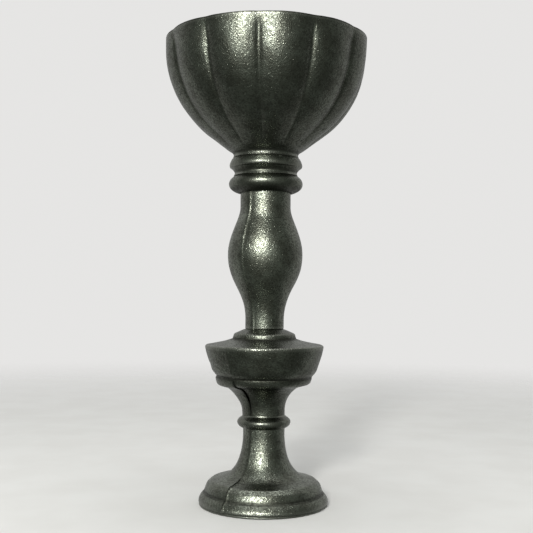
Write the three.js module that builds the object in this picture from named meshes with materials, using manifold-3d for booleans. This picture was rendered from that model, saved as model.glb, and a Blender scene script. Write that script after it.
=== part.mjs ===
// A small cast pewter communion chalice, drawn in millimetres with +Z up. The origin is the centre of
// the circle that it stands on. Azimuths are measured about Z from -Y, positive towards +X.
import * as THREE from 'three';
import { mergeVertices } from 'three/addons/utils/BufferGeometryUtils.js';
import Module from 'manifold-3d';

const wasm = await Module();
wasm.setup();

// Driving dimensions: the whole object.
const TOTAL_HEIGHT = 180;
const BOWL_RADIUS = 39.2;
const KNOP_RADIUS = 23.1;
const FOOT_RADIUS = 25.2;
const WALL = 2.2;
const FIT = 0.3;

// Heights of the joints between the stacked pieces.
const BASE_RING_TOP = 0.9;
const FOOT_TOP = 32.2;
const STEM_FOOT = 68.2;
const LOWER_COLLAR_BOTTOM = 121;
const STEM_TOP = LOWER_COLLAR_BOTTOM + 1.5;
const LOWER_COLLAR_TOP = 127.5;
const UPPER_COLLAR_TOP = 134.6;

// The bowl: a hemisphere under a short upright lip, scored into convex lobes.
const LIP_HEIGHT = 4.4;
const BOWL_CENTRE = TOTAL_HEIGHT - LIP_HEIGHT;
const BOWL_WALL = 2.6;
const BOWL_INSIDE = BOWL_RADIUS - BOWL_WALL;
const CUP_NECK_RADIUS = 12.6;
const LOBES = 12;
const LOBE_STEPS = 4;
const LOBE_DEPTH = 0.034;
const LOBE_AZIMUTH = THREE.MathUtils.degToRad(-4.4);
const LOBE_FADE_FROM = UPPER_COLLAR_TOP + 2.2;
const LOBE_FADE_TO = UPPER_COLLAR_TOP + 7.5;
const RIM_FADE = 0.5;
const RIM_FADE_HEIGHT = 6;

// The stem, the knop and the foot.
const STEM_RADIUS = 9.8;
const BULB_RADIUS = 14.55;
const BULB_HEIGHT = 97.1;
const STEM_WAIST_RADIUS = 7.5;
const STEP_RADIUS = 12.4;
const STEP_HEIGHT = 3.9;
const STEP_BOTTOM = STEM_FOOT - STEP_HEIGHT;
const KNOP_TOP_THICKNESS = 3.6;
const KNOP_EDGE_HEIGHT = 61;
const KNOP_GROOVE_HEIGHT = 49.7;
const NECK_RADIUS = 8.05;
const REEL_RADIUS = 14.2;
const BEAD_RADIUS = 14.4;
const NECK_RING_RADIUS = 10.4;
const NECK_RING_HALF_HEIGHT = 2.5;
const FOOT_STEP_HEIGHT = 9.8;
const FOOT_GROOVE_HEIGHT = 5;

// The half shells meet on a plane through the axis, turned about it by this angle.
const SEAM_TURN = THREE.MathUtils.degToRad(-38);
const SEAM_GAP = 0.3;

// The tie rod and what holds it under the foot.
const ROD_RADIUS = 3;
const ROD_HOLE = ROD_RADIUS + FIT;
const ROD_TOP = 138.2;
const ROD_END = 7.4;
const NUT_WIDTH = 10;
const NUT_HEIGHT = 5;
const WASHER_RADIUS = 8.8;
const WASHER_HEIGHT = 1.6;
const WASHER_BOTTOM = 14;

const AROUND = 36;
const ROD_AROUND = 24;
const BEND_STEPS = 3;
const BEND_REACH = 0.36;
const CUT_SIZE = 400;

const PEWTER = { color: 0x5d6055, roughness: 0.42, metalness: 0.95 };
const DULL_PEWTER = { color: 0x55574d, roughness: 0.55, metalness: 0.9 };
const STEEL = { color: 0x83857f, roughness: 0.4, metalness: 1 };

// An outline is a path in the plane of radius and height, which each piece is turned from.
function outlineFrom(radius, height) {
  const outline = new THREE.Path();
  outline.moveTo(radius, height);
  return outline;
}

// Carries an outline to a point in one smooth bend. Each lean is its slope at that end, in degrees
// from straight down, positive where it spreads outward on the way down.
function bend(outline, radius, height, leanFrom, leanTo) {
  const start = outline.currentPoint;
  const reach = Math.hypot(radius - start.x, height - start.y) * BEND_REACH;
  const from = THREE.MathUtils.degToRad(leanFrom);
  const to = THREE.MathUtils.degToRad(leanTo);
  outline.bezierCurveTo(
    start.x + reach * Math.sin(from), start.y - reach * Math.cos(from),
    radius - reach * Math.sin(to), height + reach * Math.cos(to),
    radius, height,
  );
}

// Turns an outline, drawn outward and down, about the axis into a closed solid with +Z up.
function turn(outline, around = AROUND, firstAzimuth = 0) {
  const points = outline.getPoints(BEND_STEPS).reverse();
  const geometry = new THREE.LatheGeometry(points, around, firstAzimuth);
  return geometry.rotateX(Math.PI / 2);
}

function toManifold(geometry) {
  const bare = geometry.clone();
  bare.deleteAttribute('normal');
  bare.deleteAttribute('uv');
  const welded = mergeVertices(bare, 1e-4);
  return new wasm.Manifold(new wasm.Mesh({
    numProp: 3,
    vertProperties: new Float32Array(welded.attributes.position.array),
    triVerts: new Uint32Array(welded.index.array),
  }));
}

function fromManifold(solid) {
  const { vertProperties, triVerts } = solid.getMesh();
  const geometry = new THREE.BufferGeometry();
  geometry.setAttribute('position', new THREE.BufferAttribute(vertProperties, 3));
  geometry.setIndex(new THREE.BufferAttribute(triVerts, 1));
  geometry.computeVertexNormals();
  return geometry;
}

// Keeps what lies on one side of the seam plane: side 1 is towards +X, side -1 towards -X.
function halfShell(geometry, side) {
  const keep = new THREE.BoxGeometry(CUT_SIZE, CUT_SIZE, CUT_SIZE);
  keep.translate(side * (CUT_SIZE + SEAM_GAP) / 2, 0, 0);
  keep.rotateZ(SEAM_TURN);
  return fromManifold(toManifold(geometry).intersect(toManifold(keep)));
}

// How deep the groove between two lobes is at an azimuth: 0 on a lobe's crest, 1 in the groove.
function grooveAt(azimuth) {
  const lobe = (azimuth - LOBE_AZIMUTH) * LOBES / (2 * Math.PI);
  const fromCrest = 2 * (lobe - Math.floor(lobe)) - 1;
  return fromCrest * fromCrest;
}

// Scores the outside of the bowl into lobes that die away above its neck and are shallower at the
// rim.
function scoreLobes(geometry) {
  const position = geometry.attributes.position;
  for (let i = 0; i < position.count; i += 1) {
    const x = position.getX(i);
    const y = position.getY(i);
    const z = position.getZ(i);
    const fromCentre = Math.hypot(x, y, Math.min(z - BOWL_CENTRE, 0));
    if (fromCentre < BOWL_INSIDE + BOWL_WALL / 2) continue;
    const low = THREE.MathUtils.smoothstep(z, LOBE_FADE_FROM, LOBE_FADE_TO);
    const high = THREE.MathUtils.smoothstep(z, TOTAL_HEIGHT - RIM_FADE_HEIGHT, TOTAL_HEIGHT);
    const depth = LOBE_DEPTH * low * (1 - RIM_FADE * high);
    const scale = 1 - depth * grooveAt(Math.atan2(x, -y));
    position.setXY(i, x * scale, y * scale);
  }
  return geometry;
}

function cupGeometry() {
  const lipTop = TOTAL_HEIGHT - 0.5;
  const lipMiddle = BOWL_RADIUS - 0.8;
  const flankLean = 52;
  const flank = THREE.MathUtils.degToRad(flankLean);
  const outline = new THREE.Path();
  outline.absarc(0, BOWL_CENTRE, BOWL_INSIDE, -Math.PI / 2, 0, false);
  outline.lineTo(BOWL_INSIDE + 0.1, lipTop);
  outline.lineTo(lipMiddle - 0.4, TOTAL_HEIGHT);
  outline.lineTo(lipMiddle + 0.2, TOTAL_HEIGHT);
  outline.lineTo(BOWL_RADIUS - 0.15, lipTop);
  outline.lineTo(BOWL_RADIUS, BOWL_CENTRE);
  outline.absarc(0, BOWL_CENTRE, BOWL_RADIUS, 0, -flank, true);
  outline.lineTo(CUP_NECK_RADIUS + 2.6, UPPER_COLLAR_TOP + 3.5);
  bend(outline, CUP_NECK_RADIUS, UPPER_COLLAR_TOP + 1, -54, -4);
  outline.lineTo(CUP_NECK_RADIUS, UPPER_COLLAR_TOP);
  outline.lineTo(ROD_HOLE, UPPER_COLLAR_TOP);
  outline.lineTo(ROD_HOLE, ROD_TOP + FIT);
  outline.lineTo(0, ROD_TOP + FIT);
  return scoreLobes(turn(outline, LOBES * LOBE_STEPS, LOBE_AZIMUTH));
}

// A reel moulding: a rounded band over a hollow cove.
function upperCollarGeometry() {
  const outline = outlineFrom(ROD_HOLE, UPPER_COLLAR_TOP);
  outline.lineTo(REEL_RADIUS - 1.8, UPPER_COLLAR_TOP);
  bend(outline, REEL_RADIUS, UPPER_COLLAR_TOP - 2.6, 62, 0);
  outline.lineTo(REEL_RADIUS - 0.5, UPPER_COLLAR_TOP - 3.4);
  bend(outline, REEL_RADIUS - 2.1, LOWER_COLLAR_TOP + 1.5, -36, -6);
  outline.lineTo(REEL_RADIUS - 2, LOWER_COLLAR_TOP);
  outline.lineTo(ROD_HOLE, LOWER_COLLAR_TOP);
  outline.closePath();
  return turn(outline);
}

// A plump bead with a shallow socket underneath for the top of the stem.
function lowerCollarGeometry() {
  const socket = STEM_RADIUS + FIT;
  const outline = outlineFrom(ROD_HOLE, LOWER_COLLAR_TOP);
  outline.lineTo(BEAD_RADIUS - 2.9, LOWER_COLLAR_TOP);
  bend(outline, BEAD_RADIUS, LOWER_COLLAR_TOP - 3, 68, 0);
  bend(outline, socket + 0.3, LOWER_COLLAR_BOTTOM, 0, -80);
  outline.lineTo(socket, LOWER_COLLAR_BOTTOM);
  outline.lineTo(socket, STEM_TOP);
  outline.lineTo(ROD_HOLE, STEM_TOP);
  outline.closePath();
  return turn(outline);
}

// The stem's baluster: upright at the top, swelling to a bulb and drawn in to a waist.
function stemOutline() {
  const outline = outlineFrom(STEM_RADIUS, STEM_TOP);
  outline.lineTo(STEM_RADIUS, STEM_TOP - 6.5);
  bend(outline, 12.2, BULB_HEIGHT + 10.3, 0, 21);
  bend(outline, BULB_RADIUS, BULB_HEIGHT, 21, 0);
  bend(outline, 11.2, BULB_HEIGHT - 12.3, 0, -28);
  bend(outline, STEM_WAIST_RADIUS, STEM_FOOT + 3.3, -28, 0);
  outline.lineTo(STEM_WAIST_RADIUS, STEM_FOOT);
  return outline;
}

function stemGeometry() {
  const outside = stemOutline();
  const inside = outside.getPoints(2).reverse();
  inside.forEach((point) => outside.lineTo(point.x - WALL, point.y));
  outside.closePath();
  return turn(outside);
}

// The knop: a small rounded step, a wide shoulder with tapering sides, a narrow band under a groove
// and a hollow curve down to the neck.
function knopGeometry() {
  const edge = KNOP_EDGE_HEIGHT;
  const groove = KNOP_GROOVE_HEIGHT;
  const outline = outlineFrom(ROD_HOLE, STEM_FOOT);
  outline.lineTo(STEM_WAIST_RADIUS, STEM_FOOT);
  bend(outline, STEP_RADIUS - 1.4, STEM_FOOT - 1.5, 75, 66);
  bend(outline, STEP_RADIUS, STEP_BOTTOM, 60, 14);
  outline.lineTo(KNOP_RADIUS - 1.2, edge + 1.2);
  bend(outline, KNOP_RADIUS, edge - 0.2, 76, -6);
  bend(outline, 20.5, edge - 8.4, -10, -16);
  bend(outline, 18.6, groove, -20, -38);
  outline.lineTo(18.5, groove - 0.5);
  bend(outline, 17, groove - 3, -14, -60);
  bend(outline, 13, groove - 4.3, -68, -58);
  bend(outline, NECK_RADIUS, FOOT_TOP + 3.8, -58, 0);
  outline.lineTo(NECK_RADIUS, FOOT_TOP);
  outline.lineTo(NECK_RADIUS - WALL, FOOT_TOP);
  outline.lineTo(NECK_RADIUS - WALL, FOOT_TOP + 4.8);
  outline.lineTo(14, groove - 1.7);
  outline.lineTo(18, edge - 7);
  outline.lineTo(KNOP_RADIUS - WALL - 0.6, edge - 1);
  outline.lineTo(STEP_RADIUS - WALL, STEP_BOTTOM - WALL);
  outline.lineTo(STEP_RADIUS - WALL, STEM_FOOT - KNOP_TOP_THICKNESS);
  outline.lineTo(ROD_HOLE, STEM_FOOT - KNOP_TOP_THICKNESS);
  outline.closePath();
  return turn(outline);
}

// The bead that covers the joint between the knop and the foot.
function neckRingGeometry() {
  const bore = NECK_RADIUS + FIT;
  const outline = outlineFrom(bore, FOOT_TOP + NECK_RING_HALF_HEIGHT);
  bend(outline, NECK_RING_RADIUS, FOOT_TOP, 80, 0);
  bend(outline, bore, FOOT_TOP - NECK_RING_HALF_HEIGHT, 0, -80);
  outline.closePath();
  return turn(outline);
}

// The foot: a neck that flares to a nearly flat step, then two rounded bands with a groove between.
function footGeometry() {
  const step = FOOT_STEP_HEIGHT;
  const groove = FOOT_GROOVE_HEIGHT;
  const outline = outlineFrom(NECK_RADIUS - WALL, FOOT_TOP);
  outline.lineTo(NECK_RADIUS, FOOT_TOP);
  outline.lineTo(NECK_RADIUS, FOOT_TOP - 5.7);
  bend(outline, FOOT_RADIUS - 10, step + 1.3, 3, 62);
  outline.lineTo(FOOT_RADIUS - 5.7, step + 0.4);
  bend(outline, FOOT_RADIUS - 2.9, step - 2.5, 84, 18);
  outline.lineTo(FOOT_RADIUS - 2.3, groove + 0.3);
  outline.lineTo(FOOT_RADIUS - 2.1, groove - 0.2);
  bend(outline, FOOT_RADIUS, BASE_RING_TOP, 44, 4);
  outline.lineTo(FOOT_RADIUS - WALL, BASE_RING_TOP);
  outline.lineTo(FOOT_RADIUS - WALL - 1, groove - 1.4);
  outline.lineTo(FOOT_RADIUS - 5.8, step - WALL - 0.6);
  outline.lineTo(WASHER_RADIUS + 4.8, step - WALL + 0.4);
  outline.lineTo(WASHER_RADIUS + 0.4, WASHER_BOTTOM + 0.4);
  outline.lineTo(NECK_RADIUS - WALL, FOOT_TOP - 8.2);
  outline.closePath();
  return turn(outline);
}

// A thin flat ring that ties the two halves of the foot together and is what the chalice stands on.
function baseRingGeometry() {
  const inside = FOOT_RADIUS - WALL - 1;
  const outline = outlineFrom(inside, BASE_RING_TOP);
  outline.lineTo(FOOT_RADIUS - 0.3, BASE_RING_TOP);
  outline.lineTo(FOOT_RADIUS - 0.2, 0.4);
  outline.lineTo(FOOT_RADIUS - 0.6, 0);
  outline.lineTo(inside, 0);
  outline.closePath();
  return turn(outline);
}

function rodGeometry() {
  const chamfer = 0.5;
  const outline = outlineFrom(0, ROD_TOP);
  outline.lineTo(ROD_RADIUS - chamfer, ROD_TOP);
  outline.lineTo(ROD_RADIUS, ROD_TOP - chamfer);
  outline.lineTo(ROD_RADIUS, ROD_END + chamfer);
  outline.lineTo(ROD_RADIUS - chamfer, ROD_END);
  outline.lineTo(0, ROD_END);
  return turn(outline, ROD_AROUND);
}

// A stout washer that wedges in the flare under the foot's neck.
function washerGeometry() {
  const top = WASHER_BOTTOM + WASHER_HEIGHT;
  const outline = outlineFrom(ROD_HOLE, top);
  outline.lineTo(WASHER_RADIUS - 1, top);
  outline.lineTo(WASHER_RADIUS, WASHER_BOTTOM);
  outline.lineTo(ROD_HOLE, WASHER_BOTTOM);
  outline.closePath();
  return turn(outline);
}

function nutGeometry() {
  const corner = NUT_WIDTH / Math.sqrt(3);
  const hexagon = new THREE.Shape();
  for (let i = 0; i < 6; i += 1) {
    const angle = i * Math.PI / 3;
    const place = [corner * Math.cos(angle), corner * Math.sin(angle)];
    if (i === 0) hexagon.moveTo(...place);
    else hexagon.lineTo(...place);
  }
  hexagon.closePath();
  const hole = new THREE.Path();
  hole.absarc(0, 0, ROD_HOLE, 0, 2 * Math.PI, true);
  hexagon.holes.push(hole);
  const options = { depth: NUT_HEIGHT, bevelEnabled: false, curveSegments: ROD_AROUND / 2 };
  const geometry = new THREE.ExtrudeGeometry(hexagon, options);
  return geometry.translate(0, 0, WASHER_BOTTOM - NUT_HEIGHT);
}

function addPart(group, name, geometry, finish) {
  const mesh = new THREE.Mesh(geometry, new THREE.MeshStandardMaterial(finish));
  mesh.name = name;
  group.add(mesh);
}

function addHalves(group, name, geometry) {
  addPart(group, `${name}_right_half`, halfShell(geometry, 1), PEWTER);
  addPart(group, `${name}_left_half`, halfShell(geometry, -1), PEWTER);
}

const chalice = new THREE.Group();
addPart(chalice, 'cup', cupGeometry(), PEWTER);
addPart(chalice, 'upper_collar', upperCollarGeometry(), PEWTER);
addPart(chalice, 'lower_collar', lowerCollarGeometry(), PEWTER);
addHalves(chalice, 'stem', stemGeometry());
addHalves(chalice, 'knop', knopGeometry());
addPart(chalice, 'neck_ring', neckRingGeometry(), PEWTER);
addHalves(chalice, 'foot', footGeometry());
addPart(chalice, 'base_ring', baseRingGeometry(), DULL_PEWTER);
addPart(chalice, 'tie_rod', rodGeometry(), STEEL);
addPart(chalice, 'foot_washer', washerGeometry(), DULL_PEWTER);
addPart(chalice, 'nut', nutGeometry(), STEEL);

export default chalice;
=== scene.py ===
"""A small dark pewter communion chalice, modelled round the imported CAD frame.

Outlines and reliefs are worked out in millimetres, with heights from the foot's resting face and
azimuths in degrees about the axis, 0 towards the camera and positive to its right. The floor and
the lights are laid out in metres.
"""
import itertools
import math

import bmesh
import bpy
import numpy as np
from mathutils import Matrix, Vector


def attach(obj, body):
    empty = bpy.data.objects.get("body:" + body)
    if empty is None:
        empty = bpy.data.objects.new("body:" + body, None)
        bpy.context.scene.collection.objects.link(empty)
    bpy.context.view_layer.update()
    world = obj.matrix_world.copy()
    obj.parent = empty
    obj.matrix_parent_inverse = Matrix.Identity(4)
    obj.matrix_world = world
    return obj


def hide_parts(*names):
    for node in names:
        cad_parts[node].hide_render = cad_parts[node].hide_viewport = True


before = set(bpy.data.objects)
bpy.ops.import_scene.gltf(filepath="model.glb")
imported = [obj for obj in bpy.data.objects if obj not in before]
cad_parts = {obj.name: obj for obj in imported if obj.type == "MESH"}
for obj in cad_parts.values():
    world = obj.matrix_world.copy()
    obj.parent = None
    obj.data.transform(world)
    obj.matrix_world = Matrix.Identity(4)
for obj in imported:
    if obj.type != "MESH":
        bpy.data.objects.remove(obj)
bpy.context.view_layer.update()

MM = 0.001
BODY = "root"
SAME_SIZE = 0.01        # sizes closer than this are the same
SAME_POINT = 1e-4       # and so are points
SPACING = 0.45          # between the points of an outline
BEND_REACH = 0.36       # a bend's handles, as a part of its chord
SHARP_EDGE = 55         # degrees between faces that are shaded apart

LOBES = 12
LOBE_DEPTH = 0.044      # of the bowl's radius
LOBE_AZIMUTH = -4.4     # of a groove
LOBE_FILLET = 0.08      # of half a lobe's width
GROOVE_LINE = 0.14      # of the lobes' depth: a narrow line scored along each groove
GROOVE_WIDTH = 0.1      # of half a lobe's width
LOBE_STEPS = 48
SEAM_AZIMUTH = -38.0    # of the nearer of two opposite seams
SEAM_GAP = 0.03         # between the half shells where they are soldered
OPEN_GAP = 0.7          # between them where the seam gapes widest
STAND_OFF = 1.3         # how far the left half stands off sideways there
SAG = 0.6               # and how far it hangs lower
SEAM_DIRT = 0.5         # how far dirt reaches beyond a gap
MISMATCH = 0.35         # how far the left halves' mouldings stand above the right's
WALL = 2.2
BOWL_WALL = 2.6
FIT = 0.3               # the clearance round the tie rod and in the stem's socket


# ---------------------------------------------------------------- measures of the frame

def cad_points(*nodes):
    """The radius about the axis and the height of every vertex of CAD nodes, in mm."""
    points = np.array([v.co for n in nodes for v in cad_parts[n].data.vertices]) / MM
    return np.hypot(points[:, 0], points[:, 1]), points[:, 2]


def turned_size(*nodes):
    """The largest radius, lowest and highest point of CAD nodes."""
    radius, height = cad_points(*nodes)
    return radius.max(), height.min(), height.max()


def radius_at(level, *nodes):
    """The largest radius of CAD nodes at a height where their outline has a corner."""
    radius, height = cad_points(*nodes)
    return radius[np.abs(height - level) < SAME_SIZE].max()


def widest_height(*nodes):
    """The height at which CAD nodes are widest."""
    radius, height = cad_points(*nodes)
    return height[radius.argmax()]


def halves(name):
    return f"{name}_right_half", f"{name}_left_half"


CUP_RADIUS, CUP_BOTTOM, CUP_TOP = turned_size("cup")
REEL_RADIUS, REEL_BOTTOM, REEL_TOP = turned_size("upper_collar")
BEAD_RADIUS, BEAD_BOTTOM, BEAD_TOP = turned_size("lower_collar")
BULB_RADIUS, STEM_BOTTOM, STEM_TOP = turned_size(*halves("stem"))
KNOP_RADIUS, KNOP_BOTTOM, KNOP_TOP = turned_size(*halves("knop"))
RING_RADIUS, RING_BOTTOM, RING_TOP = turned_size("neck_ring")
FOOT_RADIUS, FOOT_BOTTOM, FOOT_TOP = turned_size(*halves("foot"))
BASE_RADIUS, BASE_BOTTOM, BASE_TOP = turned_size("base_ring")
ROD_RADIUS, ROD_BOTTOM, ROD_TOP = turned_size("tie_rod")
WASHER_RADIUS, WASHER_BOTTOM, WASHER_TOP = turned_size("foot_washer")
NUT_CORNER, NUT_BOTTOM, NUT_TOP = turned_size("nut")

HOLE = ROD_RADIUS + FIT
BOWL_CENTRE = widest_height("cup")
BOWL_INSIDE = CUP_RADIUS - BOWL_WALL
CUP_NECK = radius_at(CUP_BOTTOM, "cup")
STEM_RADIUS = radius_at(STEM_TOP, *halves("stem"))
BULB_HEIGHT = widest_height(*halves("stem"))
WAIST = radius_at(STEM_BOTTOM, *halves("stem"))
KNOP_EDGE = widest_height(*halves("knop"))
NECK = radius_at(FOOT_TOP, *halves("foot"))
FOOT_INSIDE = FOOT_RADIUS - WALL - 1


# ---------------------------------------------------------------- outlines

class Outline:
    """A curve in the plane of radius and height, drawn outward and then down."""

    def __init__(self, radius, height):
        self.points = [(radius, height)]

    def line(self, radius, height, spacing=SPACING):
        """A straight line, with its points about one spacing apart."""
        x, y = self.points[-1]
        steps = max(1, round(math.hypot(radius - x, height - y) / spacing))
        for t in np.linspace(0, 1, steps + 1)[1:]:
            self.points.append((x + (radius - x) * t, y + (height - y) * t))
        return self

    def bend(self, radius, height, lean_from, lean_to, fewest=4):
        """A smooth bend. A lean is the slope in degrees from straight down, positive outward."""
        start, end = np.array(self.points[-1]), np.array([radius, height])
        chord = np.hypot(*(end - start))
        a, b = math.radians(lean_from), math.radians(lean_to)
        leave = start + chord * BEND_REACH * np.array([math.sin(a), -math.cos(a)])
        reach = end - chord * BEND_REACH * np.array([math.sin(b), -math.cos(b)])
        for t in np.linspace(0, 1, max(fewest, round(chord / SPACING)) + 1)[1:]:
            s = 1 - t
            self.points.append(tuple(s**3 * start + 3 * s * s * t * leave
                                     + 3 * s * t * t * reach + t**3 * end))
        return self

    def arc(self, centre, radius, start, end):
        """An arc about a point, between two angles in degrees from the direction outward."""
        length = abs(math.radians(end - start)) * radius
        for angle in np.radians(np.linspace(start, end, max(4, round(length / SPACING)) + 1)):
            self.points.append((centre[0] + radius * math.cos(angle),
                                centre[1] + radius * math.sin(angle)))
        return self

    def array(self):
        """The points without the ones that repeat the point before."""
        points = np.array(self.points)
        step = np.hypot(*np.diff(points, axis=0).T)
        return points[np.append(True, step > SAME_POINT)]


# ---------------------------------------------------------------- shaping by formula

def smooth_step(value, low, high):
    """A smooth rise from 0 at low to 1 at high."""
    t = np.clip((value - low) / (high - low), 0, 1)
    return t * t * (3 - 2 * t)


def hill(value, centre, width):
    """A smooth hill of height 1 about a centre."""
    return np.exp(-((value - centre) / width) ** 2)


def value_noise(points, cell, seed):
    """Smooth noise from -1 to 1 at points in mm, its lumps about one cell across."""
    direction = np.array([12.9898, 78.233, 37.719])
    magnify = 43758.5453
    scaled = points / cell
    base = np.floor(scaled)
    blend = smooth_step(scaled - base, 0, 1)
    total = 0
    for corner in itertools.product((0, 1), repeat=3):
        value = np.sin((base + corner) @ direction + seed) * magnify
        weight = np.prod(np.where(corner, blend, 1 - blend), axis=-1)
        total = total + weight * (value - np.floor(value))
    return 2 * total - 1


def point_at(radius, azimuth, height):
    """The place in mm of a point given by radius, azimuth and height."""
    angle = math.radians(azimuth)
    return np.array([radius * math.sin(angle), -radius * math.cos(angle), height])


def cast_surface(points, seed, amount=1.0):
    """The slight unevenness of a hand-finished casting."""
    broad = 0.07 * value_noise(points, 7.0, seed)
    fine = 0.03 * value_noise(points, 2.6, seed + 5)
    return (broad + fine) * amount


def from_axis(points):
    """How far points lie from the axis."""
    return np.hypot(points[..., 0], points[..., 1])


def beyond_seam(points):
    """How far points lie past the nearer seam, anticlockwise seen from above being positive."""
    angle = math.radians(SEAM_AZIMUTH)
    past = points[..., 0] * math.cos(angle) + points[..., 1] * math.sin(angle)
    facing = points[..., 0] * math.sin(angle) - points[..., 1] * math.cos(angle)
    return np.where(facing < 0, -past, past)


# ---------------------------------------------------------------- turned meshes

def outline_normals(points, closed):
    """The outward normal at each point of an outline, and how sharply it bulges there."""
    before, after = np.roll(points, 1, 0), np.roll(points, -1, 0)
    if not closed:
        before[0], after[-1] = points[0], points[-1]
    first, second = points - before, after - points
    along = after - before
    length = np.hypot(*along.T)
    turn = np.arctan2(first[:, 0] * second[:, 1] - first[:, 1] * second[:, 0],
                      (first * second).sum(1))
    return np.stack([-along[:, 1], along[:, 0]], 1) / length[:, None], -turn / length * 2


def spread(values, points, closed):
    """Averages values over their neighbours along an outline."""
    reach = 0.7
    length = np.hypot(*(np.roll(points, -1, 0) - points).T)
    place = np.cumsum(length) - length
    apart = np.abs(place[:, None] - place[None])
    if closed:
        apart = np.minimum(apart, length.sum() - apart)
    weight = hill(apart, 0, reach)
    return (weight * values).sum(1) / weight.sum(1)


def grid_mesh(name, place, on_axis, closed, full, masks):
    """A mesh over turned points, whose faces look outward from an outline drawn clockwise.

    closed says whether the outline ends where it starts, and full whether it goes all round.
    """
    around, along = place.shape[:2]
    index = np.arange(around * along).reshape(around, along)
    index[:, on_axis] = index[:1, on_axis]
    used, index = np.unique(index, return_inverse=True)
    index = index.reshape(around, along)
    rows = np.vstack([index, index[:1]]) if full else index
    grid = np.hstack([rows, rows[:, :1]]) if closed else rows
    corners = np.stack([grid[:-1, :-1], grid[:-1, 1:], grid[1:, 1:], grid[1:, :-1]], -1)
    faces = [tuple(dict.fromkeys(face)) for face in corners.reshape(-1, 4).tolist()]
    if not full:
        faces += [tuple(index[0, ::-1].tolist()), tuple(index[-1].tolist())]
    mesh = bpy.data.meshes.new(name)
    mesh.from_pydata(place.reshape(-1, 3)[used], [], faces)
    for mask, values in masks.items():
        mesh.attributes.new(mask, "FLOAT", "POINT").data.foreach_set(
            "value", values.ravel()[used].astype(np.float32))
    finished = bmesh.new()
    finished.from_mesh(mesh)
    ends = [face for face in finished.faces if len(face.verts) > 4]
    bmesh.ops.triangulate(finished, faces=ends, ngon_method="EAR_CLIP")
    finished.to_mesh(mesh)
    finished.free()
    mesh.shade_smooth()
    mesh.set_sharp_from_angle(angle=math.radians(SHARP_EDGE))
    return mesh


def turned_mesh(name, outline, azimuths, shape=None, relief=None, dirt_and_shade=None, half=None,
                gap=None):
    """Turns an outline about Z through azimuths.

    shape(radius, azimuth, height) returns a new radius and height, relief(points) how far each
    point moves along the outline's normal, and the third function adds to the darkening mask,
    which holds patina in hollows, dirt along seams and, on some pieces, painted shade or a painted
    dark reflection. A half shell's azimuths run from 0 to 180 past the azimuth given as half, and
    gap(height) is how far apart it leaves itself and the other half.
    """
    points = outline.array()
    on_axis = points[:, 0] < SAME_POINT
    closed = not on_axis.any()
    if closed and np.hypot(*(points[0] - points[-1])) < SAME_POINT:
        points, on_axis = points[:-1], on_axis[:-1]
    normals, bulge = outline_normals(points, closed)
    bulge = spread(bulge, points, closed)
    hollow, edge = smooth_step(-bulge, 0.08, 0.7), smooth_step(bulge, 0.12, 0.9)
    azimuth = np.repeat(np.asarray(azimuths, float)[:, None], len(points), 1)
    radius = np.repeat(points[None, :, 0], len(azimuths), 0)
    height = np.repeat(points[None, :, 1], len(azimuths), 0)
    if half is not None:
        clear = np.degrees(np.arcsin(gap(height) / 2 / radius))
        azimuth = half + clear + azimuth * (180 - 2 * clear) / 180
    if shape:
        radius, height = shape(radius, azimuth, height)

    def placed():
        turn = np.radians(azimuth)
        return np.stack([radius * np.sin(turn), -radius * np.cos(turn), height], -1)

    everywhere = np.ones_like(radius)
    # the darkening mask: patina in hollows, plus what each piece adds, which is seam dirt and, on
    # some pieces, painted shade or a painted dark reflection
    grime_and_shade = hollow * everywhere
    if relief:
        amount = relief(placed())
        amount[:, on_axis] = 0
        radius = radius + normals[:, 0] * amount
        height = height + normals[:, 1] * amount
    if dirt_and_shade:
        grime_and_shade = grime_and_shade + dirt_and_shade(placed())
    masks = {"wear": edge * everywhere, "grime_and_shade": np.clip(grime_and_shade, 0, 1)}
    return grid_mesh(name, placed() * MM, on_axis, closed, half is None, masks)


def evenly(count):
    """Azimuths all round, evenly spaced."""
    return np.arange(count) * 360 / count


def half_turn():
    """Azimuths from 0 to 180, closer together towards the seams."""
    near = np.array([0, 0.15, 0.35, 0.6, 0.95, 1.4, 2.0, 2.8, 3.8])
    middle = np.linspace(5, 175, 72)
    return np.concatenate([near, middle, 180 - near[::-1]])


def add_piece(name, nodes, mesh, material):
    piece = bpy.data.objects.new(name, mesh)
    bpy.context.scene.collection.objects.link(piece)
    mesh.materials.append(material)
    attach(piece, BODY)
    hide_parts(*nodes)


# ---------------------------------------------------------------- the cup

def across_lobe(azimuth):
    """0 on a lobe's crest and 1 in the groove between two lobes."""
    return np.abs((azimuth - LOBE_AZIMUTH) * LOBES / 360 % 1 * 2 - 1)


def lobe_groove(azimuth):
    """How deep a lobe's rounded flank lies, from 0 on its crest, with a small fillet at 1."""
    across = across_lobe(azimuth)
    edge = 1 - LOBE_FILLET
    past = np.clip(across - edge, 0, None)
    filleted = edge**2 + 2 * edge * (past - past**2 / (2 * LOBE_FILLET))
    return np.where(across < edge, across**2, filleted)


def lobed_azimuths():
    """Azimuths all round, closer together towards the grooves."""
    within = np.linspace(-1, 1, LOBE_STEPS + 1)[:-1]
    crowded = (within + np.sin(within * math.pi / 2)) / 2
    return np.concatenate([LOBE_AZIMUTH + (lobe + 0.5 + crowded / 2) * 360 / LOBES
                           for lobe in range(LOBES)])


def outside_bowl(radius, height):
    from_centre = np.hypot(radius, np.minimum(height - BOWL_CENTRE, 0))
    return from_centre > BOWL_INSIDE + BOWL_WALL / 2


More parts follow.
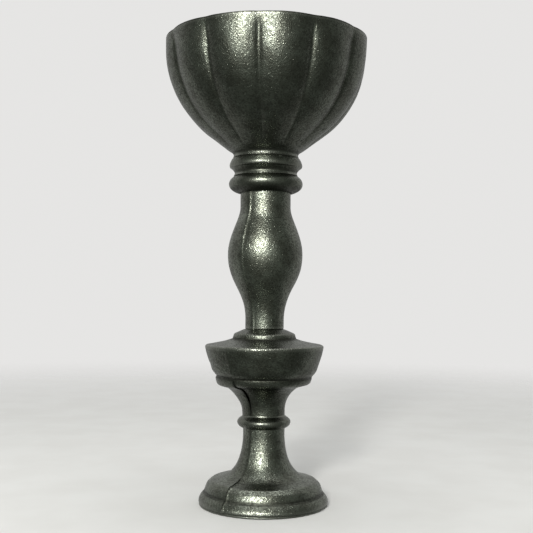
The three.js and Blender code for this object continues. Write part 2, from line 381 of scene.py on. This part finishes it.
def cup_shape(radius, azimuth, height):
    """Draws the lobes' flanks in, less so at the neck, at the rim and inside the bowl."""
    low = smooth_step(height, CUP_BOTTOM + 2.2, CUP_BOTTOM + 7.5)
    flank = low * (1 - 0.6 * smooth_step(height, CUP_TOP - 9, CUP_TOP))
    line = low * (1 - smooth_step(height, CUP_TOP - 5, CUP_TOP - 1.2))
    outer = flank * lobe_groove(azimuth)
    outer += line * GROOVE_LINE * hill(across_lobe(azimuth), 1, GROOVE_WIDTH)
    inner = 0.25 * smooth_step(height, BOWL_CENTRE - 12, CUP_TOP) * lobe_groove(azimuth)
    return radius * (1 - LOBE_DEPTH * np.where(outside_bowl(radius, height), outer, inner)), height


def streak(points, start, end, width):
    """A hill of height 1 along a short straight line."""
    along = end - start
    t = np.clip((points - start) @ along / (along @ along), 0, 1)
    away = np.linalg.norm(points - start - t[..., None] * along, axis=-1)
    return hill(away, 0, width)


def cup_relief(points):
    outside = outside_bowl(from_axis(points), points[..., 2])
    relief = cast_surface(points, seed=3) * np.where(outside, 1, 0.35)
    long_nick = streak(points, point_at(17.3, 50, CUP_BOTTOM + 5.0),
                       point_at(19.2, 55, CUP_BOTTOM + 6.2), 0.35)
    short_nick = streak(points, point_at(23.2, 65, CUP_BOTTOM + 9.4),
                        point_at(24.6, 69, CUP_BOTTOM + 10.6), 0.3)
    speck = streak(points, point_at(33.2, 12.9, CUP_BOTTOM + 20.3),
                   point_at(33.2, 13.1, CUP_BOTTOM + 20.3), 0.35)
    return relief - 0.3 * (long_nick + short_nick) + 0.12 * speck


# Darkening for the cup. The top 0.6 mm of the outside is painted dark as a painted dark reflection
# along the rim's edge. The outside also grows a little darker towards the bottom of the bowl, and
# the inside is evenly darkened a little.
def cup_dirt_and_shade(points):
    height = points[..., 2]
    low = 1 - smooth_step(height, CUP_BOTTOM, BOWL_CENTRE - 8)
    rim = smooth_step(height, CUP_TOP - 0.6, CUP_TOP - 0.2)
    return np.where(outside_bowl(from_axis(points), height), rim + 0.15 * low, 0.1)


def make_cup(material):
    inner_round = 0.7
    outer_round = 0.3
    lip_centre = CUP_RADIUS - 0.9
    end_of_arc = -52
    outline = Outline(0, BOWL_CENTRE - BOWL_INSIDE)
    outline.arc((0, BOWL_CENTRE), BOWL_INSIDE, -90, 0)
    outline.line(lip_centre - inner_round, CUP_TOP - inner_round)
    outline.arc((lip_centre, CUP_TOP - inner_round), inner_round, 180, 90)
    outline.arc((CUP_RADIUS - outer_round, CUP_TOP - outer_round), outer_round, 90, 0)
    outline.line(CUP_RADIUS, BOWL_CENTRE)
    outline.arc((0, BOWL_CENTRE), CUP_RADIUS, 0, end_of_arc)
    outline.line(CUP_NECK + 2.6, CUP_BOTTOM + 3.5)
    outline.bend(CUP_NECK, CUP_BOTTOM + 1.0, -54, -3, fewest=8)
    outline.bend(CUP_NECK + 0.2, CUP_BOTTOM + 0.2, -3, 14)
    outline.bend(CUP_NECK, CUP_BOTTOM, 30, -80)
    outline.line(HOLE, CUP_BOTTOM).line(HOLE, ROD_TOP + FIT).line(0, ROD_TOP + FIT)
    mesh = turned_mesh("cup_casting", outline, lobed_azimuths(), cup_shape, cup_relief, cup_dirt_and_shade)
    add_piece("cup_casting", ["cup"], mesh, material)


# ---------------------------------------------------------------- the collars

def make_upper_collar(material):
    cove = CUP_NECK - 0.45
    outline = Outline(HOLE, REEL_TOP)
    outline.line(CUP_NECK, REEL_TOP)
    outline.bend(REEL_RADIUS - 0.4, REEL_TOP - 1.5, 72, 24, fewest=8)
    outline.bend(REEL_RADIUS, REEL_TOP - 3.0, 20, 0, fewest=6)
    outline.bend(REEL_RADIUS - 0.35, REEL_TOP - 3.8, -4, -60, fewest=5)
    outline.bend(REEL_RADIUS - 0.8, REEL_TOP - 4.0, -80, -84, fewest=3)
    outline.bend(cove, REEL_BOTTOM + 1.3, -34, -8, fewest=8)
    outline.bend(cove + 0.35, REEL_BOTTOM + 0.2, -6, 34)
    outline.bend(cove + 0.1, REEL_BOTTOM, 30, -80)
    outline.line(HOLE, REEL_BOTTOM).line(HOLE, REEL_TOP)

    def relief(points):
        low_nodule = streak(points, point_at(cove, -46, REEL_BOTTOM + 0.5),
                            point_at(cove, -44, REEL_BOTTOM + 0.6), 0.4)
        high_nodule = streak(points, point_at(REEL_RADIUS - 0.9, 24, REEL_TOP - 0.4),
                             point_at(REEL_RADIUS - 0.9, 25, REEL_TOP - 0.4), 0.35)
        return cast_surface(points, seed=11, amount=0.8) + 0.3 * (low_nodule + high_nodule)

    mesh = turned_mesh("upper_collar_reel", outline, evenly(200), relief=relief)
    add_piece("upper_collar_reel", ["upper_collar"], mesh, material)


def make_lower_collar(material):
    socket = STEM_RADIUS + FIT
    widest = BEAD_BOTTOM + 3.45
    outline = Outline(HOLE, BEAD_TOP)
    outline.line(CUP_NECK - 0.5, BEAD_TOP)
    outline.bend(BEAD_RADIUS, widest, 70, 0, fewest=12)
    outline.bend(socket + 0.3, BEAD_BOTTOM, 0, -80, fewest=12)
    outline.line(socket, BEAD_BOTTOM + 0.15)
    outline.line(socket, STEM_TOP).line(HOLE, STEM_TOP).line(HOLE, BEAD_TOP)

    def relief(points):
        return cast_surface(points, seed=17, amount=1.2)

    # Painted shadow: the bead is fully dark from its underside to 1 mm above it and clears by 2.8
    # mm, standing in for the shadow in the gap above the stem
    def dirt_and_shade(points):
        return 1 - smooth_step(points[..., 2], BEAD_BOTTOM + 1.0, BEAD_BOTTOM + 2.8)

    mesh = turned_mesh("lower_collar_bead", outline, evenly(200), relief=relief, dirt_and_shade=dirt_and_shade)
    add_piece("lower_collar_bead", ["lower_collar"], mesh, material)


# ---------------------------------------------------------------- the half shells

def between(height, low, high):
    """1 between two heights and 0 beyond them, with soft ends."""
    soft = 1.2
    return smooth_step(height, low, low + soft) * (1 - smooth_step(height, high - soft, high))


def nowhere(height):
    return 0 * height


def add_halves(name, outline, material, relief, dirty_seam, lifted=nowhere, gape=nowhere):
    """The right and the left half shell of a piece that was cast in two.

    Each of these runs from 0 to 1: dirty_seam(height) is how dark the seam is, lifted(height) how
    far the left half's mouldings stand above the right's, and gape(height) how open the seam is.
    """
    def left_shape(radius, azimuth, height):
        past = np.radians(azimuth - SEAM_AZIMUTH - 180)
        sideways = STAND_OFF * gape(height) * np.sin(past)
        upward = MISMATCH * lifted(height) - SAG * gape(height)
        return radius + sideways, height + upward

    def gap(height):
        return SEAM_GAP + OPEN_GAP * gape(height)

    def seam_dirt(points):
        height = points[..., 2]
        reach = SEAM_DIRT + gap(height) / 2
        return 1.6 * hill(beyond_seam(points), 0, reach) * dirty_seam(height)

    for side, start, shape in (("right", SEAM_AZIMUTH, None),
                               ("left", SEAM_AZIMUTH + 180, left_shape)):
        mesh = turned_mesh(f"{name}_{side}_shell", outline, half_turn(), shape, relief, seam_dirt,
                           half=start, gap=gap)
        add_piece(f"{name}_{side}_shell", [f"{name}_{side}_half"], mesh, material)


def make_stem(material):
    swelling, narrowing = 21, -28
    ridge = 0.24
    outline = Outline(STEM_RADIUS - WALL, STEM_TOP)
    outline.line(STEM_RADIUS, STEM_TOP).line(STEM_RADIUS, BULB_HEIGHT + 18.9)
    outline.bend(BULB_RADIUS - 2.35, BULB_HEIGHT + 10.3, 0, swelling)
    outline.bend(BULB_RADIUS, BULB_HEIGHT, swelling, 0)
    outline.bend(BULB_RADIUS - 3.35, BULB_HEIGHT - 12.3, 0, narrowing)
    outline.bend(WAIST, STEM_BOTTOM + 3.3, narrowing, 0)
    outline.line(WAIST, STEM_BOTTOM + 0.3)
    outline.bend(WAIST - 0.25, STEM_BOTTOM, 0, -80)
    inside = [(radius - WALL, height) for radius, height in outline.points[::-1]]
    outline.points += inside[1:]

    def relief(points):
        past = beyond_seam(points)
        solder = np.where(past < 0, hill(past, 0, 3), 1 - smooth_step(past, 0, 1.1))
        uneven = 1 + 0.5 * value_noise(points, 4.0, seed=29)
        return cast_surface(points, seed=23) + ridge * solder * uneven

    def dirty_seam(height):
        return 0.3 * smooth_step(height, BULB_HEIGHT, STEM_TOP)

    add_halves("stem", outline, material, relief, dirty_seam)


def make_knop(material):
    step = KNOP_TOP - 3.9
    step_radius = 12.4
    cap = KNOP_TOP - 3.6
    groove = KNOP_BOTTOM + 17.5
    lip_radius = 18.55
    cove = KNOP_BOTTOM + 13.2
    inner_spacing = 2.0
    outline = Outline(HOLE, KNOP_TOP)
    outline.line(WAIST - 0.3, KNOP_TOP)
    outline.bend(step_radius - 1.4, KNOP_TOP - 1.5, 76, 68)
    outline.bend(step_radius - 0.4, KNOP_TOP - 2.4, 62, 12, fewest=8)
    outline.bend(step_radius, step + 0.15, 12, 14)
    outline.bend(step_radius + 0.5, step - 0.1, 30, 74)
    outline.bend(KNOP_RADIUS - 0.9, KNOP_EDGE + 1.25, 72, 80)
    outline.bend(KNOP_RADIUS, KNOP_EDGE + 0.4, 80, -5, fewest=10)
    outline.bend(KNOP_RADIUS - 2.5, KNOP_EDGE - 8.2, -9, -17)
    outline.bend(lip_radius + 0.1, groove + 0.1, -19, -40)
    outline.bend(lip_radius, groove - 0.35, -60, 20, fewest=4)
    outline.bend(lip_radius - 0.35, groove - 1.9, 0, -22, fewest=5)
    outline.bend(lip_radius - 1.35, groove - 2.9, -30, -64, fewest=5)
    outline.bend(NECK + 4.95, cove, -68, -58)
    outline.bend(NECK, KNOP_BOTTOM + 3.8, -58, 0)
    outline.line(NECK, KNOP_BOTTOM).line(NECK - WALL, KNOP_BOTTOM)
    outline.line(NECK - WALL, KNOP_BOTTOM + 4.8, inner_spacing)
    outline.line(NECK + 5.95, cove + 2.6, inner_spacing)
    outline.line(lip_radius - 0.55, KNOP_EDGE - 6.8, inner_spacing)
    outline.line(KNOP_RADIUS - WALL - 0.6, KNOP_EDGE - 0.8, inner_spacing)
    outline.line(step_radius - WALL, step - WALL, inner_spacing)
    outline.line(step_radius - WALL, cap, inner_spacing)
    outline.line(HOLE, cap, inner_spacing).line(HOLE, KNOP_TOP, inner_spacing)

    def gape(height):
        opened = 1 - smooth_step(height, groove - 0.6, groove)
        return opened * (0.25 + 0.75 * hill(height, groove - 6.5, 4.5))

    def lifted(height):
        return between(height, groove - 3, groove + 6)

    def dirty_seam(height):
        return 1 - smooth_step(height, groove - 1, groove + 2)

    def relief(points):
        smear = 0.14 * hill(beyond_seam(points), 0.3, 1.1) * (points[..., 2] > groove)
        return cast_surface(points, seed=31, amount=1.2) + smear

    add_halves("knop", outline, material, relief, dirty_seam, lifted, gape)


def make_neck_ring(material):
    bore = NECK + 0.05
    middle = (RING_BOTTOM + RING_TOP) / 2
    outline = Outline(bore, RING_TOP + 0.25)
    outline.bend(bore + 0.9, middle + 1.75, 6, 58)
    outline.bend(RING_RADIUS, middle - 0.1, 58, 0, fewest=10)
    outline.bend(bore + 0.15, RING_BOTTOM + 0.1, 0, -84, fewest=12)
    outline.line(bore, RING_BOTTOM + 0.2).line(bore, RING_TOP + 0.25, spacing=1.2)

    def relief(points):
        radius = from_axis(points)
        seam = hill(np.degrees(beyond_seam(points) / radius), 0, 1.2)
        clear_of_bore = smooth_step(radius, bore + 0.1, bore + 0.6)
        return clear_of_bore * (cast_surface(points, seed=41) - 0.04 * seam)

    mesh = turned_mesh("neck_ring_bead", outline, evenly(240), relief=relief)
    add_piece("neck_ring_bead", ["neck_ring"], mesh, material)


def make_foot(material):
    step = FOOT_BOTTOM + 8.9
    groove = FOOT_BOTTOM + 4.1
    flare_radius = 15.7
    band_radius = FOOT_RADIUS - 2.05
    inner_spacing = 1.0
    outline = Outline(NECK - WALL, FOOT_TOP)
    outline.line(NECK, FOOT_TOP).line(NECK, FOOT_TOP - 5.7)
    outline.bend(flare_radius, step + 0.8, 3, 64)
    outline.bend(band_radius - 3.85, step - 0.15, 76, 80)
    outline.bend(band_radius - 2.55, step - 0.6, 78, 46, fewest=6)
    outline.bend(band_radius - 0.85, step - 2.5, 42, 18, fewest=6)
    outline.bend(band_radius - 0.2, groove + 0.3, 18, 14)
    outline.bend(band_radius, groove - 0.2, 0, 60, fewest=5)
    outline.bend(FOOT_RADIUS, FOOT_BOTTOM + 0.6, 40, 6, fewest=10)
    outline.bend(FOOT_RADIUS - 0.3, FOOT_BOTTOM, 0, -60)
    outline.line(FOOT_RADIUS - WALL, FOOT_BOTTOM)
    outline.line(FOOT_INSIDE, groove - 1.4, inner_spacing)
    outline.line(band_radius - 3.75, step - WALL - 0.4, inner_spacing)
    outline.line(flare_radius - 2.1, step - WALL + 0.6, inner_spacing)
    outline.line(WASHER_RADIUS + 0.4, WASHER_BOTTOM + 0.4, inner_spacing)
    outline.line(NECK - WALL, FOOT_TOP - 8.2, inner_spacing)
    outline.line(NECK - WALL, FOOT_TOP, inner_spacing)

    def lifted(height):
        return between(height, FOOT_BOTTOM + 0.2, step + 2.5)

    def dirty_seam(height):
        return 0.4 * smooth_step(height, step - 1, step + 2)

    def relief(points):
        past = beyond_seam(points)
        on_flare = smooth_step(points[..., 2], step - 0.5, step + 2)
        ridge = 0.14 * np.where(past < 0, hill(past, 0, 1.6), 1 - smooth_step(past, 0, 1.8))
        flash = 0.22 * hill(past, 0.5, 0.5)
        uneven = cast_surface(points, seed=47, amount=1.1)
        return uneven + on_flare * ridge + (1 - on_flare) * flash

    add_halves("foot", outline, material, relief, dirty_seam, lifted)


def make_base_ring(material):
    chamfer = 0.15
    outline = Outline(FOOT_INSIDE, BASE_TOP)
    outline.line(BASE_RADIUS - 0.35, BASE_TOP)
    outline.bend(BASE_RADIUS, BASE_BOTTOM + 0.5, 80, 0)
    outline.bend(BASE_RADIUS - 0.45, BASE_BOTTOM, 0, -80)
    outline.line(FOOT_INSIDE + chamfer, BASE_BOTTOM).line(FOOT_INSIDE, BASE_BOTTOM + chamfer)
    outline.line(FOOT_INSIDE, BASE_TOP)
    mesh = turned_mesh("base_edge_ring", outline, evenly(240))
    add_piece("base_edge_ring", ["base_ring"], mesh, material)


# ---------------------------------------------------------------- the tie rod and what holds it

def make_tie_rod(material):
    pitch = 1.0
    thread_depth = 0.35
    thread_end = ROD_BOTTOM + 22
    chamfer = 0.6
    end_radius = ROD_RADIUS - chamfer - 0.1
    outline = Outline(0, ROD_TOP)
    outline.line(end_radius, ROD_TOP).line(ROD_RADIUS, ROD_TOP - chamfer)
    outline.line(ROD_RADIUS, thread_end, spacing=4)
    outline.line(ROD_RADIUS, ROD_BOTTOM, spacing=pitch / 8)
    outline.line(end_radius, ROD_BOTTOM, spacing=1).line(0, ROD_BOTTOM)

    def shape(radius, azimuth, height):
        turn = (height / pitch - azimuth / 360) % 1
        groove = thread_depth * (1 - np.abs(2 * turn - 1))
        groove = groove * (1 - smooth_step(height, thread_end - pitch, thread_end))
        lead = np.clip(chamfer - (height - ROD_BOTTOM), 0, chamfer)
        wall = radius > ROD_RADIUS - SAME_SIZE
        return np.where(wall, radius - np.maximum(groove, lead), radius), height

    mesh = turned_mesh("threaded_tie_rod", outline, evenly(48), shape=shape)
    add_piece("threaded_tie_rod", ["tie_rod"], mesh, material)


def make_washer(material):
    rim = 0.2
    top_radius = WASHER_RADIUS - 1
    outline = Outline(HOLE, WASHER_TOP)
    outline.line(top_radius - rim, WASHER_TOP).line(top_radius + rim / 2, WASHER_TOP - rim)
    outline.line(WASHER_RADIUS, WASHER_BOTTOM + rim)
    outline.line(WASHER_RADIUS - rim, WASHER_BOTTOM)
    outline.line(HOLE + rim, WASHER_BOTTOM).line(HOLE, WASHER_BOTTOM + rim).line(HOLE, WASHER_TOP)

    def relief(points):
        return cast_surface(points, seed=53, amount=0.6)

    mesh = turned_mesh("foot_washer_disc", outline, evenly(96), relief=relief)
    add_piece("foot_washer_disc", ["foot_washer"], mesh, material)


def make_nut(material):
    flat = NUT_CORNER * math.cos(math.pi / 6)
    chamfer = 0.3
    corner_cut = 0.8
    outline = Outline(HOLE, NUT_TOP)
    outline.line(flat - chamfer, NUT_TOP).line(NUT_CORNER, NUT_TOP - corner_cut)
    outline.line(NUT_CORNER, NUT_BOTTOM + corner_cut).line(flat - chamfer, NUT_BOTTOM)
    outline.line(HOLE + chamfer, NUT_BOTTOM, spacing=0.6).line(HOLE, NUT_BOTTOM + chamfer)
    outline.line(HOLE, NUT_TOP, spacing=1)

    def shape(radius, azimuth, height):
        hexagon = flat / np.cos(np.radians(azimuth % 60 - 30))
        return np.minimum(radius, hexagon), height

    mesh = turned_mesh("hexagon_nut", outline, evenly(144), shape=shape)
    add_piece("hexagon_nut", ["nut"], mesh, material)


# ---------------------------------------------------------------- materials

class Nodes:
    """A short way to build a material's node tree."""

    def __init__(self, name):
        self.material = bpy.data.materials.new(name)
        self.material.use_nodes = True
        self.tree = self.material.node_tree
        self.tree.nodes.clear()

    def add(self, kind, **settings):
        made = self.tree.nodes.new("ShaderNode" + kind)
        for key, value in settings.items():
            setattr(made, key, value)
        return made

    def link(self, source, target):
        self.tree.links.new(source, target)

    def value(self, source, target):
        """Sets an input to a number or colour, or links a socket to it."""
        if isinstance(source, bpy.types.NodeSocket):
            self.link(source, target)
        else:
            target.default_value = source

    def noise(self, cell, detail=2.0, roughness=0.5, stretch=(1, 1, 1)):
        """Noise from 0 to 1 whose lumps are about one cell across, in mm."""
        place = self.add("TexCoord")
        scaled = self.add("Mapping")
        scaled.inputs["Scale"].default_value = [s / (cell * MM) for s in stretch]
        self.link(place.outputs["Object"], scaled.inputs["Vector"])
        texture = self.add("TexNoise")
        texture.inputs["Scale"].default_value = 1.0
        texture.inputs["Detail"].default_value = detail
        texture.inputs["Roughness"].default_value = roughness
        self.link(scaled.outputs["Vector"], texture.inputs["Vector"])
        return texture.outputs["Fac"]

    def mask(self, name):
        return self.add("Attribute", attribute_name=name).outputs["Fac"]

    def ramp(self, source, low, high, start=0.0, end=1.0):
        """Maps low..high to start..end, smoothly."""
        made = self.add("MapRange", interpolation_type="SMOOTHSTEP")
        self.value(source, made.inputs["Value"])
        limits = {"From Min": low, "From Max": high, "To Min": start, "To Max": end}
        for key, limit in limits.items():
            made.inputs[key].default_value = limit
        return made.outputs["Result"]

    def math(self, operation, a, b):
        made = self.add("Math", operation=operation)
        self.value(a, made.inputs[0])
        self.value(b, made.inputs[1])
        return made.outputs["Value"]

    def mix(self, amount, a, b):
        made = self.add("Mix", data_type="RGBA")
        self.value(amount, made.inputs["Factor"])
        self.value(a, made.inputs["A"])
        self.value(b, made.inputs["B"])
        return made.outputs["Result"]

    def bump(self, height, distance, below=None):
        made = self.add("Bump")
        made.inputs["Distance"].default_value = distance * MM
        self.link(height, made.inputs["Height"])
        if below:
            self.link(below, made.inputs["Normal"])
        return made.outputs["Normal"]

    def metal(self, color, roughness, normal):
        shader = self.add("BsdfPrincipled")
        output = self.add("OutputMaterial")
        shader.inputs["Metallic"].default_value = 1.0
        self.link(color, shader.inputs["Base Color"])
        self.link(roughness, shader.inputs["Roughness"])
        self.link(normal, shader.inputs["Normal"])
        self.link(shader.outputs["BSDF"], output.inputs["Surface"])
        return self.material


def paint(red, green, blue, tone=1.0):
    """A colour for a node's input, made lighter or darker by a tone."""
    return red * tone, green * tone, blue * tone, 1


def pewter(name="antique_pewter", tone=1.0, dull=0.0, coarse=1.0):
    """Dark antiqued pewter: cast grain, mottled patina, dirt in hollows and brighter worn edges.
    Its darkening mask also paints shade under the lower collar's bead and a dark reflection along
    the cup's rim.
    """
    n = Nodes(name)
    mottle = n.noise(6.0, detail=6.0, roughness=0.65)
    speckle = n.noise(0.7, detail=2.0, roughness=0.6)
    grain = n.noise(0.5, detail=2.0, roughness=0.7)
    peel = n.noise(2.4, detail=2.0)
    light = paint(0.195, 0.211, 0.177, tone)
    dark = paint(0.12, 0.126, 0.104, tone)
    pits = paint(0.045, 0.047, 0.038)
    # dark colour for grime, also used for painted shade and a painted dark reflection
    soot_and_shade = paint(0.022, 0.022, 0.018)
    bare = paint(0.34, 0.35, 0.31)
    patina = n.mix(n.ramp(mottle, 0.35, 0.65), light, dark)
    pitted = n.mix(n.ramp(speckle, 0.42, 0.66, 0, 0.7), patina, pits)
    dirt_and_shade = n.math("MULTIPLY", n.mask("grime_and_shade"), n.ramp(mottle, 0.3, 0.6, 1.0, 0.6))
    dirty_and_shaded = n.mix(n.math("MULTIPLY", dirt_and_shade, 0.85), pitted, soot_and_shade)
    wear = n.math("MULTIPLY", n.mask("wear"), n.ramp(n.mask("grime_and_shade"), 0, 0.5, 0.4, 0))
    worn = n.mix(wear, dirty_and_shaded, bare)
    rough = n.ramp(speckle, 0.35, 0.65, 0.24 + dull, 0.38 + dull)
    rough = n.math("ADD", rough, n.math("MULTIPLY", dirt_and_shade, 0.2))
    normal = n.bump(peel, 0.03)
    normal = n.bump(grain, 0.11 * coarse, normal)
    pimples = n.ramp(n.noise(0.8, detail=1.0), 0.58, 0.78)
    normal = n.bump(pimples, 0.05 * coarse, normal)
    return n.metal(worn, rough, normal)


def rod_steel():
    """Plain tarnished steel, with fine turning marks round it."""
    n = Nodes("tarnished_steel")
    marks = n.noise(0.6, detail=2.0, stretch=(0.05, 0.05, 1))
    stain = n.noise(2.5, detail=4.0)
    clean = paint(0.42, 0.42, 0.4)
    tarnish = paint(0.16, 0.13, 0.1)
    color = n.mix(n.ramp(stain, 0.45, 0.7), clean, tarnish)
    return n.metal(color, n.ramp(stain, 0.4, 0.7, 0.32, 0.55), n.bump(marks, 0.02))


def floor_paper():
    """Pale paper that fades out before the edge of the floor."""
    n = Nodes("pale_paper")
    fade_from, fade_to = 0.18, 0.75
    grey = paint(0.67, 0.665, 0.655)
    pale = paint(0.7, 0.698, 0.69)
    tint = n.mix(n.ramp(n.noise(30.0, detail=3.0), 0.3, 0.7), grey, pale)
    diffuse = n.add("BsdfDiffuse")
    n.link(tint, diffuse.inputs["Color"])
    place = n.add("TexCoord")
    length = n.add("VectorMath", operation="LENGTH")
    n.link(place.outputs["Object"], length.inputs[0])
    clear = n.add("BsdfTransparent")
    blend = n.add("MixShader")
    output = n.add("OutputMaterial")
    n.link(n.ramp(length.outputs["Value"], fade_from, fade_to), blend.inputs["Fac"])
    n.link(diffuse.outputs["BSDF"], blend.inputs[1])
    n.link(clear.outputs["BSDF"], blend.inputs[2])
    n.link(blend.outputs["Shader"], output.inputs["Surface"])
    return n.material


# ---------------------------------------------------------------- floor, light and camera

def make_floor():
    reach = 1.6
    mesh = bpy.data.meshes.new("floor")
    corners = [(-reach, -reach, 0), (reach, -reach, 0), (reach, reach, 0), (-reach, reach, 0)]
    mesh.from_pydata(corners, [], [(0, 1, 2, 3)])
    floor = bpy.data.objects.new("floor", mesh)
    bpy.context.scene.collection.objects.link(floor)
    mesh.materials.append(floor_paper())
    floor.visible_glossy = False


def make_world():
    """Pale behind the object; for reflections, white paper behind it and a dim room before it."""
    world = bpy.data.worlds.new("studio")
    bpy.context.scene.world = world
    world.use_nodes = True
    tree = world.node_tree
    tree.nodes.clear()
    place = tree.nodes.new("ShaderNodeTexCoord")
    parts = tree.nodes.new("ShaderNodeSeparateXYZ")
    tree.links.new(place.outputs["Generated"], parts.inputs[0])

    def ramp(source, *stops):
        """Blends colours along one axis, whose -1 and 1 are placed at 0 and 1."""
        made = tree.nodes.new("ShaderNodeValToRGB")
        made.color_ramp.interpolation = "EASE"
        while len(made.color_ramp.elements) < len(stops):
            made.color_ramp.elements.new(0.5)
        for element, (position, color) in zip(made.color_ramp.elements, stops):
            element.position = position
            element.color = color
        shifted = tree.nodes.new("ShaderNodeMath")
        shifted.operation = "MULTIPLY_ADD"
        shifted.inputs[1].default_value = 0.5
        shifted.inputs[2].default_value = 0.5
        tree.links.new(source, shifted.inputs[0])
        tree.links.new(shifted.outputs[0], made.inputs["Fac"])
        return made.outputs["Color"]

    def grey(level):
        return paint(level, level, level)

    def times(a, b):
        made = tree.nodes.new("ShaderNodeMix")
        made.data_type = "RGBA"
        made.blend_type = "MULTIPLY"
        made.inputs["Factor"].default_value = 1
        tree.links.new(a, made.inputs["A"])
        tree.links.new(b, made.inputs["B"])
        return made.outputs["Result"]

    glow = paint(0.34, 0.36, 0.33)
    room = paint(0.19, 0.205, 0.185)
    dim = paint(0.14, 0.15, 0.14)
    paper = paint(0.47, 0.47, 0.46)
    backdrop = paint(0.79, 0.785, 0.775)
    depth = ramp(parts.outputs["Y"], (0.0, glow), (0.12, room), (0.5, dim), (0.64, paper))
    fall = ramp(parts.outputs["Z"], (0.05, grey(0.8)), (0.5, grey(0.9)), (0.8, grey(1.1)))
    side = ramp(parts.outputs["X"], (0.1, grey(1.2)), (0.4, grey(1.1)), (0.6, grey(1.05)))
    reflected = tree.nodes.new("ShaderNodeBackground")
    seen = tree.nodes.new("ShaderNodeBackground")
    tree.links.new(times(times(depth, fall), side), reflected.inputs["Color"])
    seen.inputs["Color"].default_value = backdrop
    path = tree.nodes.new("ShaderNodeLightPath")
    blend = tree.nodes.new("ShaderNodeMixShader")
    output = tree.nodes.new("ShaderNodeOutputWorld")
    tree.links.new(path.outputs["Is Camera Ray"], blend.inputs["Fac"])
    tree.links.new(reflected.outputs[0], blend.inputs[1])
    tree.links.new(seen.outputs[0], blend.inputs[2])
    tree.links.new(blend.outputs[0], output.inputs["Surface"])


def add_area_light(name, azimuth, elevation, distance, size, power, color=(1, 1, 1)):
    """An area light aimed at the middle of the chalice."""
    light = bpy.data.lights.new(name, "AREA")
    light.shape = "ELLIPSE"
    light.size, light.size_y = size
    light.energy = power
    light.color = color
    lamp = bpy.data.objects.new(name, light)
    a, e = math.radians(azimuth), math.radians(elevation)
    away = Vector((math.sin(a) * math.cos(e), -math.cos(a) * math.cos(e), math.sin(e)))
    target = Vector((0, 0, CUP_TOP * MM / 2))
    lamp.location = target + away * distance
    lamp.rotation_mode = "QUATERNION"
    lamp.rotation_quaternion = away.to_track_quat("Z", "Y")
    bpy.context.scene.collection.objects.link(lamp)


def make_lights():
    add_area_light("key", azimuth=-14, elevation=21, distance=0.9, size=(0.13, 0.22), power=6.6,
                   color=(1.0, 0.99, 0.95))
    add_area_light("halo", azimuth=-16, elevation=14, distance=1.0, size=(1.1, 0.9), power=2.4,
                   color=(0.97, 1.0, 0.97))
    add_area_light("top", azimuth=0, elevation=88, distance=1.2, size=(1.0, 1.0), power=8.0)


def make_camera():
    """A close view, level with the lower part of the stem and rolled by half a degree."""
    distance, eye, aside = 340.0, 82.1, 0.64
    roll = 0.47
    data = bpy.data.cameras.new("camera")
    data.sensor_width = 36.0
    data.lens = 58.8
    data.shift_y = 0.05
    data.clip_start = 10 * MM
    camera = bpy.data.objects.new("camera", data)
    bpy.context.scene.collection.objects.link(camera)
    camera.location = Vector((aside, -distance, eye)) * MM
    level = Vector((0, 1, 0)).to_track_quat("-Z", "Y")
    camera.rotation_mode = "QUATERNION"
    camera.rotation_quaternion = level @ Matrix.Rotation(math.radians(roll), 3, "Z").to_quaternion()
    bpy.context.scene.camera = camera


def make_chalice():
    cast = pewter(coarse=0.6)
    bright = pewter("handled_pewter", tone=1.2)
    dull = pewter("dull_pewter", tone=0.8, dull=0.1)
    steel = rod_steel()
    make_cup(pewter("cup_pewter", tone=0.9))
    make_upper_collar(cast)
    make_lower_collar(cast)
    make_stem(bright)
    make_knop(pewter("knop_pewter", tone=0.93))
    make_neck_ring(cast)
    make_foot(bright)
    make_base_ring(dull)
    make_tie_rod(steel)
    make_washer(dull)
    make_nut(steel)


make_chalice()
make_floor()
make_world()
make_lights()
make_camera()
bpy.context.scene.view_settings.view_transform = "Standard"
